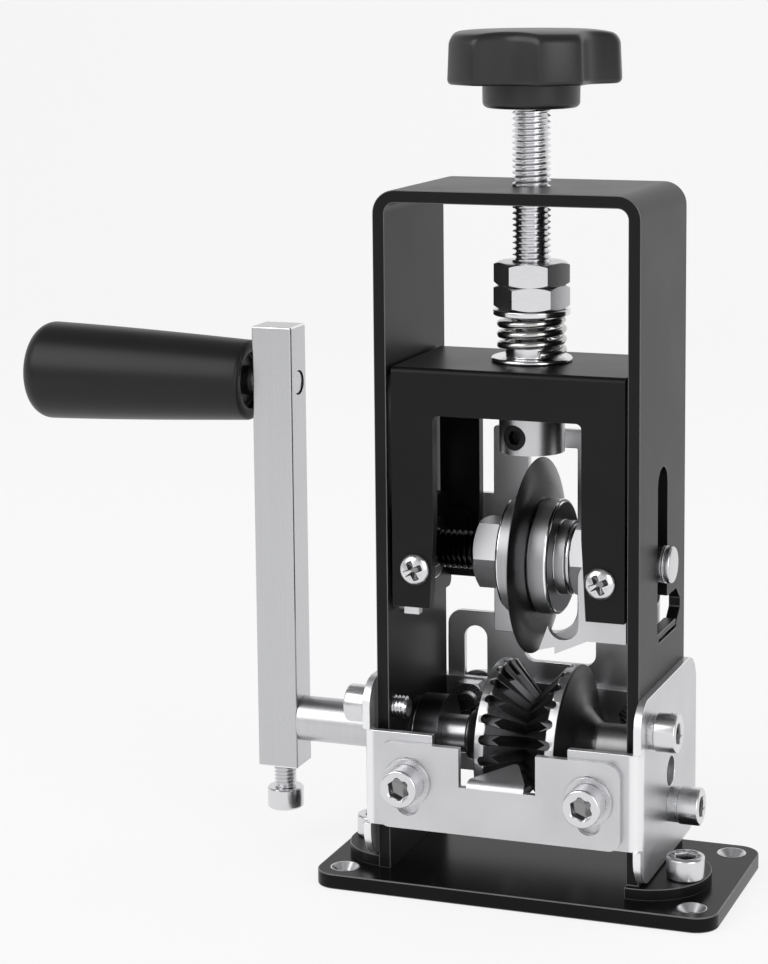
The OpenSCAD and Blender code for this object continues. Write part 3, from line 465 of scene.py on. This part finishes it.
# Pieces that stand for CAD solids and add threads, recesses and smooth round forms. Their meshes are
# in millimetres about their own Z axis until they are placed.

def stack(rings, steps=48):
    """A closed solid from rings of (height, radius). A radius may be a function of the angle, and a
    height one of the radius."""
    verts, faces = [], []
    for height, radius in rings:
        for i in range(steps):
            a = 2 * math.pi * i / steps
            r = radius(a) if callable(radius) else radius
            verts.append((r * math.cos(a), r * math.sin(a), height(r) if callable(height) else height))
    for end, k in ((-1, 0), (1, len(rings) - 1)):
        ring = range(k * steps, (k + 1) * steps)
        verts.append((0, 0, sum(verts[i][2] for i in ring) / steps))
        centre = len(verts) - 1
        for i in range(steps):
            faces.append((centre, ring[i], ring[(i + 1) % steps])[::end])
    for k in range(len(rings) - 1):
        for i in range(steps):
            j = (i + 1) % steps
            faces.append((k * steps + i, k * steps + j, (k + 1) * steps + j, (k + 1) * steps + i))
    return verts, faces


# A thread's depth as a share of its pitch, and the size of its ends and the slope of their chamfers
THREAD_DEPTH = 0.6
THREAD_END = 0.96
END_SLOPE = 1.2


def thread(low, high, radius, pitch, steps=40):
    """A right-hand thread about Z between two heights, with chamfered closed ends. One turn of its profile
    is the root, the flank, the crest and the flank back."""
    root = radius - THREAD_DEPTH * pitch
    profile = ((0.0, root), (0.12, root), (0.48, radius), (0.64, radius))
    end_r = root * THREAD_END
    columns = steps * (math.ceil((high - low) / pitch) + 2) + 1
    verts, faces = [], []
    for c in range(columns):
        a = 2 * math.pi * c / steps
        for k, (share, r) in enumerate(profile):
            z = low + pitch * (c / steps - 1 + share)
            r = min(r, end_r + END_SLOPE * max(0.0, min(z - low, high - z)))
            if (c < steps and k == 0) or (c >= columns - steps and k == 3):
                r = 0.0
            verts.append((r * math.cos(a), r * math.sin(a), min(max(z, low), high)))
    for c in range(columns - 1):
        for k in range(4):
            up = c if k < 3 else c + steps
            if up + 1 < columns:
                top = (k + 1) % 4
                faces.append((4 * c + k, 4 * c + 4 + k, 4 * up + 4 + top, 4 * up + top))
    return verts, faces


def hexagon(across_flats):
    """The outline of a hexagon as a radius for each angle."""
    half = math.radians(30)
    return lambda a: across_flats / 2 / math.cos((a + half) % (2 * half) - half)


def cross(length, half_width):
    """The outline of a cross with four arms as a radius for each angle."""
    quarter = math.pi / 2

    def radius(a):
        off = abs((a + quarter / 2) % quarter - quarter / 2)
        return min(length, half_width / max(math.sin(off), 1e-6))
    return radius


def arc(centre_h, centre_r, radius, start, end, count):
    """Rings along an arc, from (height, radius) of its centre. At 0 degrees it is at its widest."""
    for i in range(count + 1):
        a = math.radians(start + (end - start) * i / count)
        yield centre_h + radius * math.sin(a), centre_r + radius * math.cos(a)


def facing(at, out, spin=0.0):
    """Places a piece in millimetres, with its Z axis along out and a turn about it in degrees."""
    turn = Vector(out).to_track_quat("Z", "Y").to_matrix().to_4x4()
    return Matrix.Translation(Vector(at) * MM) @ turn @ Matrix.Rotation(math.radians(spin), 4, "Z")


JOIN_DISTANCE = 1e-7


def make(name, parts, material, body, node, place=None, sharp=32):
    """One object from several meshes, which rides on a body and stands for a CAD node where one is named."""
    verts, faces = [], []
    for part_verts, part_faces in parts:
        first = len(verts)
        verts += [tuple(c * MM for c in p) for p in part_verts]
        faces += [tuple(first + i for i in f) for f in part_faces]
    mesh = bpy.data.meshes.new(name)
    mesh.from_pydata(verts, [], faces)
    bm = bmesh.new()
    bm.from_mesh(mesh)
    bmesh.ops.remove_doubles(bm, verts=bm.verts, dist=JOIN_DISTANCE)
    bmesh.ops.dissolve_degenerate(bm, edges=bm.edges, dist=JOIN_DISTANCE)
    bmesh.ops.recalc_face_normals(bm, faces=bm.faces)
    bm.to_mesh(mesh)
    bm.free()
    mesh.polygons.foreach_set("use_smooth", [True] * len(mesh.polygons))
    mesh.set_sharp_from_angle(angle=math.radians(sharp))
    mesh.materials.append(material)
    o = bpy.data.objects.new(name, mesh)
    bpy.context.scene.collection.objects.link(o)
    if place is not None:
        o.matrix_world = place
    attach(o, body)
    if node:
        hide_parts(node)
    return o


# Screws with hexagon sockets

M6_R = 3
M6_PITCH = 1.0
M6_HEAD_R = 4.9
M6_HEAD_H = 5.7
M6_SOCKET = 5
M6_SOCKET_DEPTH = 3
M6_SOCKET_RIM_R = 3.15
M6_CHAMFER = 0.35
M6_ROUND = 0.6
HEAD_OVERLAP = 0.3


def cap_screw(name, node, at, out, length, body, spin=0.0):
    """An M6 screw whose head's underside is at a place, with its head towards out."""
    top = M6_HEAD_H
    head = [(0, M6_R - 0.4), (0, M6_HEAD_R - M6_CHAMFER), (M6_CHAMFER, M6_HEAD_R)]
    head += list(arc(top - M6_ROUND, M6_HEAD_R - M6_ROUND, M6_ROUND, 0, 90, 5))
    head += [(top, M6_SOCKET_RIM_R), (top - 0.28, hexagon(M6_SOCKET + 0.12)),
             (top - 0.4, hexagon(M6_SOCKET)), (top - M6_SOCKET_DEPTH, hexagon(M6_SOCKET)),
             (top - M6_SOCKET_DEPTH - 0.7, 0.5)]
    make(name, [stack(head), thread(-length, HEAD_OVERLAP, M6_R, M6_PITCH)], CAP_SCREW, body,
         node, facing(at, out, spin))


WING_X = 37
# Depth, height and spacer's thickness of each side screw, and how far each side's screws reach inwards
SIDE_SCREWS = (("upper", -18, 46.4, 1.6), ("lower", 1.8, 21.2, 2.6))
SIDE_REACH = ((-1, "left", 9.2), (1, "right", 4.8))
SIDE_SPIN = 14
for side, side_name, reach in SIDE_REACH:
    for which, y, z, spacer in SIDE_SCREWS:
        cap_screw(f"side_screw_{side_name}_{which}", "side_screws", (side * (WING_X + spacer), y, z),
                  (side, 0, 0), reach + spacer, "frame", SIDE_SPIN)

# The front guide's screws have their heads to the front, the rear guide's to the rear
GUIDE_SCREW_X = 24.1
GUIDE_SPIN = 8
for end, outward, node, z in ((0, -1, "front_guide_screws", 30.5), (1, 1, "rear_guide_screws", 38.6)):
    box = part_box(node)
    tip = box[1][1] if end == 0 else box[0][1]
    head_y = (box[end][1] / MM) - outward * M6_HEAD_H
    for side, side_name in ((-1, "left"), (1, "right")):
        cap_screw(f"{node[:-1]}_{side_name}", node, (side * GUIDE_SCREW_X, head_y, z), (0, outward, 0),
                  abs(tip / MM - head_y), "frame", GUIDE_SPIN)

FOOT_TOP = 7
FOOT_SCREWS = (("left", -42.1, -6), ("right", 44.5, -11.5))
FOOT_SPIN = 10
for side_name, x, y in FOOT_SCREWS:
    cap_screw(f"foot_screw_{side_name}", "foot_screws", (x, y, FOOT_TOP), (0, 0, 1), FOOT_TOP - 0.5, "frame",
              FOOT_SPIN)

CLAMP_X = -70.8
CLAMP_UNDERSIDE = 15.4
CLAMP_LENGTH = 15.6
cap_screw("crank_clamp", "crank_clamp_screw", (CLAMP_X, 0, CLAMP_UNDERSIDE), (0, 0, -1), CLAMP_LENGTH,
          "crank")


# Screws with cross recesses

M4_R = 2
M4_HEAD_R = 4
M4_HEAD_H = 2.6
M4_PITCH = 0.7
M4_LENGTH = 8.5
DOME_R = 6.2
# The recess's arms, as their length and half width, at the dome and then at depths under its top
RECESS_TOP = (2.65, 0.82)
RECESS = ((2.3, 0.6, 1), (0.95, 0.36, 1.9))
PAN_SPIN = 24


def dome(r):
    """The height of the head's domed top at a radius."""
    return M4_HEAD_H - DOME_R + math.sqrt(max(0.0, DOME_R ** 2 - r ** 2))


def pan_screw(name, node, at, out):
    """An M4 screw whose head's underside is at a place, with its head towards out."""
    rim = dome(M4_HEAD_R)
    head = [(0, M4_R - 0.2), (0, M4_HEAD_R - 0.1), (0.15, M4_HEAD_R), (rim - 0.25, M4_HEAD_R),
            (rim + 0.05, M4_HEAD_R - 0.2)]
    head += [(dome, r) for r in (3.5, 3.15, 2.9, 2.78)]
    head += [(dome, cross(*RECESS_TOP))]
    head += [(M4_HEAD_H - depth, cross(length, half_width)) for length, half_width, depth in RECESS]
    make(name, [stack(head, 96), thread(-M4_LENGTH, HEAD_OVERLAP, M4_R, M4_PITCH, 32)], PAN_SCREW, "yoke",
         node, facing(at, out, PAN_SPIN))


YOKE_FRONT = -21
GUARD_REAR = 20
YOKE_SCREW_X = 24.6
YOKE_SCREW_Z = 84
for side_name, x in (("left", -YOKE_SCREW_X), ("right", YOKE_SCREW_X)):
    pan_screw(f"yoke_screw_{side_name}", "yoke_screws", (x, YOKE_FRONT, YOKE_SCREW_Z), (0, -1, 0))
    pan_screw(f"guard_screw_{side_name}", "rear_guard_screws", (x, GUARD_REAR, YOKE_SCREW_Z), (0, 1, 0))


# Pressure screw and blade axle

M10_R = 5
M10_PITCH = 1.5
screw_low, screw_high = (corner[2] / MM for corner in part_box("pressure_screw"))
make("pressure_screw_thread", [thread(screw_low, screw_high, M10_R, M10_PITCH, 48)], SCREW, "screw",
     "pressure_screw")

AXLE_THREAD_END = 26
AXLE_END = 38
AXLE_ROUND = 0.7
JOURNAL_R = 4.75
GROOVE_R = 4.1
GROOVE = (35.3, 36.5)
journal = [(AXLE_THREAD_END - 0.5, JOURNAL_R), (GROOVE[0], JOURNAL_R), (GROOVE[0], GROOVE_R),
           (GROOVE[1], GROOVE_R), (GROOVE[1], JOURNAL_R - 0.15), (GROOVE[1] + 0.15, JOURNAL_R)]
journal += list(arc(AXLE_END - AXLE_ROUND, JOURNAL_R - AXLE_ROUND, AXLE_ROUND, 0, 90, 5))
left_journal = [(-x, r) for x, r in reversed(journal)]
axle_thread = thread(-AXLE_THREAD_END, AXLE_THREAD_END, M10_R, M10_PITCH, 48)
make("blade_axle_thread", [axle_thread, stack(journal, 64), stack(left_journal, 64)], AXLE_THREAD,
     "blade_rotor", "blade_axle", facing((0, 0, BLADE_Z), (1, 0, 0)))


# Star knob

KNOB_R = 23
KNOB_LOBES = 5
KNOB_HOLLOW = 4
KNOB_TURN = 55
KNOB_CROWN = 1.8
KNOB_LOW = 207
KNOB_H = 13.6
KNOB_FOOT_ROUND = 1.3
KNOB_RIM_ROUND = 2.2
KNOB_DRAFT = 0.4
HUB_LOW = 200.8
HUB_R = 12.4
HUB_ROUND = 1.5
# Half of a hollow's width as a share of the way from lobe to lobe, and how soft its borders are
HOLLOW_SHARE = 0.3
HOLLOW_SOFT = 0.0144


def lobe_radius(a):
    """The knob's outline as a radius for each angle: full lobes and hollows with soft borders."""
    step = 2 * math.pi / KNOB_LOBES
    off = (a - math.radians(KNOB_TURN) + step / 2) % step - step / 2
    sink = 1 - (off / (HOLLOW_SHARE * step)) ** 2
    return KNOB_R - KNOB_HOLLOW * (sink + math.sqrt(sink * sink + HOLLOW_SOFT)) / 2


def knob_ring(height, inset, crown):
    """A ring of the outline moved inwards. crown is 1 where it sinks outwards as the knob's top does."""
    def radius(a):
        return lobe_radius(a) - inset
    return (lambda r: height - crown * KNOB_CROWN * (r / KNOB_R) ** 6), radius


def knob():
    """The star and its hub, built from the star's underside."""
    rings = [knob_ring(0, 8, 0), knob_ring(0, 1.6, 0)]
    foot, rim = KNOB_FOOT_ROUND, KNOB_RIM_ROUND
    for i in range(1, 6):
        a = math.pi / 2 * i / 5
        rings.append(knob_ring(foot * (1 - math.cos(a)), foot * (1 - math.sin(a)), 0))
    for i in range(9):
        a = math.pi / 2 * i / 8
        rings.append(knob_ring(KNOB_H - rim * (1 - math.sin(a)), KNOB_DRAFT + rim * (1 - math.cos(a)), 1))
    rings += [knob_ring(KNOB_H, inset, 1) for inset in (4, 6, 8, 11, 14)]
    hub = [(0, HUB_R - 2 * HUB_ROUND)] + list(arc(HUB_ROUND, HUB_R - HUB_ROUND, HUB_ROUND, -90, 0, 6))
    hub.append((8, HUB_R + 0.1))
    hub = [(z + HUB_LOW - KNOB_LOW, r) for z, r in hub]
    make("knob", [stack(rings, 200), stack(hub, 96)], KNOB_PLASTIC, "screw", "star_knob",
         Matrix.Translation((0, 0, KNOB_LOW * MM)), sharp=40)


knob()


# Grip

GRIP_RIGHT = -78.5
GRIP_LENGTH = 64
GRIP_END_R = 5
GRIP_THIN_R = 10.7
GRIP_SWELL = 2.7


def grip_radius(s):
    """The grip's radius at a distance from its right end, thin there and swelling to the left."""
    share = s / GRIP_LENGTH
    return GRIP_THIN_R + GRIP_SWELL * (share + math.sin(math.pi / 2 * share)) / 2


def grip():
    """Built along Z from its right end, which has a round recess about the spindle."""
    rings = [(2.6, 3), (2.6, 7.2), (2.3, 7.5), (0.7, 7.5), (0.2, 7.7), (0, 8.2), (0, 9.6)]
    rings += list(arc(1, grip_radius(1) - 1, 1, -80, 0, 5))
    straight = GRIP_LENGTH - GRIP_END_R
    rings += [(s, grip_radius(s)) for s in (1 + (straight - 1) * i / 24 for i in range(1, 25))]
    rings += list(arc(straight, grip_radius(straight) - GRIP_END_R, GRIP_END_R, 8, 90, 12))
    rings += [(GRIP_LENGTH, 4)]
    make("grip_turned", [stack(rings, 96)], GRIP_PLASTIC, "grip", "handle_grip",
         facing((GRIP_RIGHT, 0, GRIP_Z), (-1, 0, 0)), sharp=40)


grip()


# Spring, which rides on the spring seat

SPRING_LOW = 137.3
SPRING_HIGH = 148
WIRE_R = 1.02
SPRING_R = 8
SPRING_TURNS = 3.2
SPRING_START = -57
SPRING_GAP = 0.05
WIRE_BREAK = 0.15
WIRE_BREAK_LENGTH = 0.12


def spring():
    """A wire with softly broken ends, which clears the seats by a gap."""
    steps, sides = 48, 16
    count = 2 * int(SPRING_TURNS * steps / 2)
    pitch = (SPRING_HIGH - SPRING_LOW - 2 * WIRE_R - 2 * SPRING_GAP) / SPRING_TURNS
    run = 2 * math.pi * SPRING_R
    length = math.hypot(run, pitch)
    verts, faces = [], []
    for i in range(-1, count + 2):
        turned_by = min(max(i, 0), count) / steps
        a = 2 * math.pi * turned_by + math.radians(SPRING_START)
        wire_r = WIRE_R if 0 <= i <= count else WIRE_R - WIRE_BREAK
        slide = 0.0 if 0 <= i <= count else math.copysign(WIRE_BREAK_LENGTH, i)
        out = Vector((math.cos(a), math.sin(a), 0))
        along = Vector((-math.sin(a) * run, math.cos(a) * run, pitch)) / length
        up = along.cross(out) * -1
        middle = SPRING_R * out + Vector((0, 0, SPRING_LOW + WIRE_R + SPRING_GAP + pitch * turned_by))
        middle += along * slide
        for k in range(sides):
            b = 2 * math.pi * k / sides
            verts.append(tuple(middle + wire_r * (math.cos(b) * out + math.sin(b) * up)))
    rows = count + 3
    for i in range(rows - 1):
        for k in range(sides):
            j = (k + 1) % sides
            faces.append((i * sides + k, i * sides + j, (i + 1) * sides + j, (i + 1) * sides + k))
    faces.append(tuple(range(sides))[::-1])
    faces.append(tuple((rows - 1) * sides + k for k in range(sides)))
    o = make("spring_wire", [(verts, faces)], SPRING, "spring_seat", "pressure_spring")
    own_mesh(o)


spring()


# Bright rims in the base's countersinks

BASE_HOLES = [(x, y) for x in (-43.5, 49.5) for y in (-24.5, 17.5)]
BASE_TOP = 4
# Height over the base's top and radius, round the section of one rim
CONE = ((-1.9, 1.72), (-0.02, 3.62), (0.08, 3.8), (0.1, 3.72), (0.06, 3.5), (-1.7, 1.74))


def countersinks():
    """Thin cones that lie on the countersinks' faces."""
    parts = []
    for x, y in BASE_HOLES:
        steps = 48
        verts, faces = [], []
        for z, r in CONE:
            for i in range(steps):
                a = 2 * math.pi * i / steps
                verts.append((x + r * math.cos(a), y + r * math.sin(a), BASE_TOP + z))
        for k in range(len(CONE)):
            for i in range(steps):
                j, n = (i + 1) % steps, (k + 1) % len(CONE)
                faces.append((k * steps + i, k * steps + j, n * steps + j, n * steps + i))
        parts.append((verts, faces))
    make("countersink_rims", parts, NUT, "frame", None)


countersinks()


# Floor, backdrop and light

FLOOR_FRONT = -1.2
FLOOR_REAR = 1.6
FLOOR_HALF_W = 2.5
FLOOR_GAP = 0.0002
WALL_TOP = 1.4
SWEEP_R = 0.7
PALE_GREY = (0.82, 0.82, 0.82, 1)
WHITE = (1, 1, 1, 1)
WHITE_SHARE = 0.82


def floor_material():
    """Pale floor that keeps the shadow: a white that only the camera and reflections see is mixed with a lit
    pale grey."""
    m = bpy.data.materials.new("pale_floor")
    m.use_nodes = True
    t = m.node_tree
    t.nodes.clear()
    out = t.nodes.new("ShaderNodeOutputMaterial")
    lit = t.nodes.new("ShaderNodeBsdfDiffuse")
    lit.inputs["Color"].default_value = PALE_GREY
    white = t.nodes.new("ShaderNodeEmission")
    white.inputs["Color"].default_value = WHITE
    white.inputs["Strength"].default_value = 1.0
    path = t.nodes.new("ShaderNodeLightPath")
    share = t.nodes.new("ShaderNodeMath")
    share.operation = "MULTIPLY"
    seen = t.nodes.new("ShaderNodeMath")
    seen.operation = "MAXIMUM"
    t.links.new(path.outputs["Is Camera Ray"], seen.inputs[0])
    t.links.new(path.outputs["Is Glossy Ray"], seen.inputs[1])
    t.links.new(seen.outputs[0], share.inputs[0])
    share.inputs[1].default_value = WHITE_SHARE
    mix = t.nodes.new("ShaderNodeMixShader")
    t.links.new(share.outputs[0], mix.inputs[0])
    t.links.new(lit.outputs[0], mix.inputs[1])
    t.links.new(white.outputs[0], mix.inputs[2])
    t.links.new(mix.outputs[0], out.inputs["Surface"])
    return m


def make_floor():
    path = [(FLOOR_FRONT, 0.0), (FLOOR_REAR - SWEEP_R, 0.0)]
    for i in range(1, 17):
        a = math.pi / 2 * i / 16
        path.append((FLOOR_REAR - SWEEP_R + SWEEP_R * math.sin(a), SWEEP_R * (1 - math.cos(a))))
    path.append((FLOOR_REAR, WALL_TOP))
    verts = [(x, y, z - FLOOR_GAP) for y, z in path for x in (-FLOOR_HALF_W, FLOOR_HALF_W)]
    faces = [(2 * i, 2 * i + 1, 2 * i + 3, 2 * i + 2) for i in range(len(path) - 1)]
    mesh = bpy.data.meshes.new("floor")
    mesh.from_pydata(verts, [], faces)
    mesh.polygons.foreach_set("use_smooth", [True] * len(mesh.polygons))
    o = bpy.data.objects.new("floor", mesh)
    o.data.materials.append(floor_material())
    bpy.context.scene.collection.objects.link(o)


def area_light(name, at, target, size, size_y, power, mirrored=True):
    """A soft light turned to a target. Polished metal sees it unless mirrored is False."""
    data = bpy.data.lights.new(name, "AREA")
    data.shape = "RECTANGLE"
    data.size = size
    data.size_y = size_y
    data.energy = power
    o = bpy.data.objects.new(name, data)
    o.location = at
    o.rotation_euler = (Vector(target) - Vector(at)).to_track_quat("-Z", "Y").to_euler()
    o.visible_glossy = mirrored
    bpy.context.scene.collection.objects.link(o)


# What polished metal sees of the studio. Brightness by the cosine of the turn away from the front, from
# the rear at 0 to the front at 1, and by height, from the horizon at 0 to straight up at 1
ROUND_THE_STUDIO = ((0.0, 0.85), (0.3, 0.85), (0.55, 0.55), (0.74, 0.24), (0.83, 0.3), (0.92, 0.95),
                    (1.0, 1.0))
UP_THE_STUDIO = ((0.3, 1.0), (0.7, 0.3), (1.0, 0.35))
STUDIO_FRONT = math.radians(-72)
ROOM_LIGHT = 0.35


def make_world():
    world = bpy.data.worlds.new("studio")
    bpy.context.scene.world = world
    world.use_nodes = True
    t = world.node_tree
    t.nodes.clear()

    def node(kind, **settings):
        n = t.nodes.new(kind)
        for key, value in settings.items():
            setattr(n, key, value)
        return n

    def calc(op, a, b):
        n = node("ShaderNodeMath", operation=op)
        for socket, value in zip(n.inputs, (a, b)):
            if isinstance(value, float):
                socket.default_value = value
            else:
                t.links.new(value, socket)
        return n.outputs[0]

    def stops(fac, table):
        n = node("ShaderNodeValToRGB")
        t.links.new(fac, n.inputs[0])
        elements = n.color_ramp.elements
        while len(elements) < len(table):
            elements.new(0.5)
        for element, (place, grey) in zip(elements, table):
            element.position = place
            element.color = (grey, grey, grey, 1)
        return n.outputs[0]

    def background(colour, strength):
        n = node("ShaderNodeBackground")
        if isinstance(colour, tuple):
            n.inputs["Color"].default_value = colour
        else:
            t.links.new(colour, n.inputs["Color"])
        n.inputs["Strength"].default_value = strength
        return n.outputs[0]

    def either(fac, a, b):
        n = node("ShaderNodeMixShader")
        for socket, value in zip(n.inputs, (fac, a, b)):
            t.links.new(value, socket)
        return n.outputs[0]

    split = node("ShaderNodeSeparateXYZ")
    t.links.new(node("ShaderNodeTexCoord").outputs["Generated"], split.inputs[0])
    x, y, z = split.outputs
    ahead_x = calc("MULTIPLY", x, math.cos(STUDIO_FRONT))
    ahead = calc("ADD", ahead_x, calc("MULTIPLY", y, math.sin(STUDIO_FRONT)))
    squares = calc("ADD", calc("MULTIPLY", x, x), calc("MULTIPLY", y, y))
    flat = calc("SQRT", calc("ADD", squares, 1e-6), 0.0)
    front = calc("ADD", calc("MULTIPLY", calc("DIVIDE", ahead, flat), 0.5), 0.5)
    pattern = calc("MULTIPLY", stops(front, ROUND_THE_STUDIO), stops(z, UP_THE_STUDIO))
    path = node("ShaderNodeLightPath")
    lit = either(path.outputs["Is Glossy Ray"], background(WHITE, ROOM_LIGHT), background(pattern, 1.0))
    seen = either(path.outputs["Is Camera Ray"], lit, background(WHITE, 1.0))
    t.links.new(seen, node("ShaderNodeOutputWorld").inputs["Surface"])


make_floor()
make_world()
MIDDLE = (0, 0, 0.1)
area_light("key", (-0.9, -1.1, 1.1), MIDDLE, size=1.3, size_y=1.3, power=14)
area_light("fill", (1.2, -0.8, 0.7), MIDDLE, size=1.0, size_y=1.3, power=8)
area_light("top", (0.1, 0.2, 1.4), MIDDLE, size=1.5, size_y=1.5, power=6, mirrored=False)

scene = bpy.context.scene
scene.view_settings.view_transform = "Standard"
